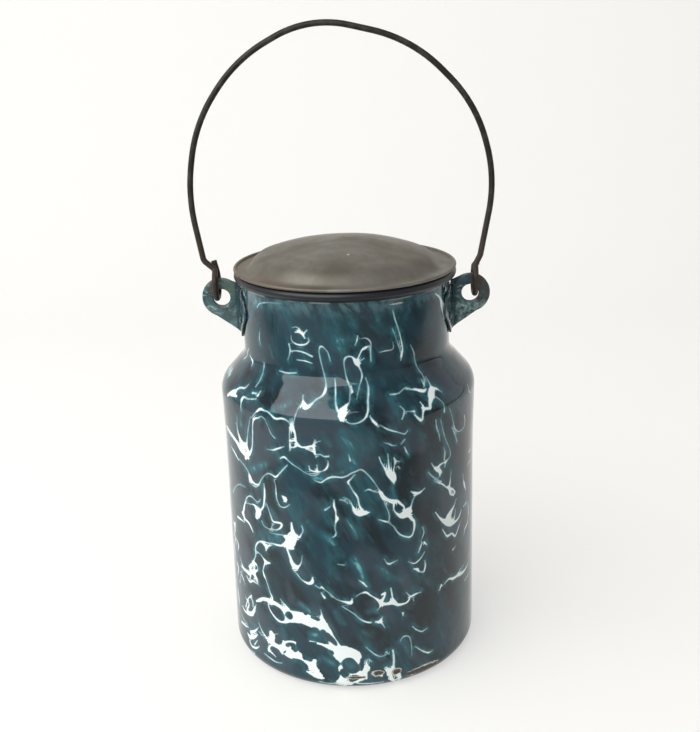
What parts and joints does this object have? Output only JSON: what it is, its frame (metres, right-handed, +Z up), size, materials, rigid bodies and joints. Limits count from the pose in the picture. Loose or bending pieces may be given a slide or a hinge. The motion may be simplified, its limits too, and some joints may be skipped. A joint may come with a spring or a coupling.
{
  "type": "milk pail",
  "caption": "Small enamelled steel milk pail with a shouldered neck, riveted wire ears, a swinging wire bail and a lift-off domed tin lid.",
  "frame": {"origin": "on the pail's vertical axis, at the level that it stands on", "axes": "+Z up, the ears and the bail's swing axis along X, -Y the front"},
  "size_m": [0.1476, 0.128, 0.3152],
  "materials": {
    "enamel": "glossy vitreous enamel on steel, dark teal with a white and teal swirl",
    "ear_enamel": "glossy dark teal enamel, rust-stained round the hole",
    "iron_wire": "dark oxidised iron wire, worn smooth",
    "tinplate": "dull aged tinplate, grey with brown stains",
    "solder": "dull soft solder"
  },
  "bodies": {
    "can": {"can_body": "enamel", "ear_left": "ear_enamel", "ear_right": "ear_enamel", "ear_rivets": "ear_enamel"},
    "bail": {"bail_wire": "iron_wire"},
    "lid": {"lid_cap": "tinplate", "lid_collar": "tinplate", "lid_solder": "solder"}
  },
  "joints": [
    {"name": "bail_swing", "type": "hinge", "parent": "can", "child": "bail", "pos_m": [0, 0, 0.19209], "axis": [1, 0, 0], "range_deg": [-140, 140]},
    {"name": "lid_lift", "type": "slide", "parent": "can", "child": "lid", "axis": [0, 0, 1], "range_m": [0, 0.06]}
  ]
}
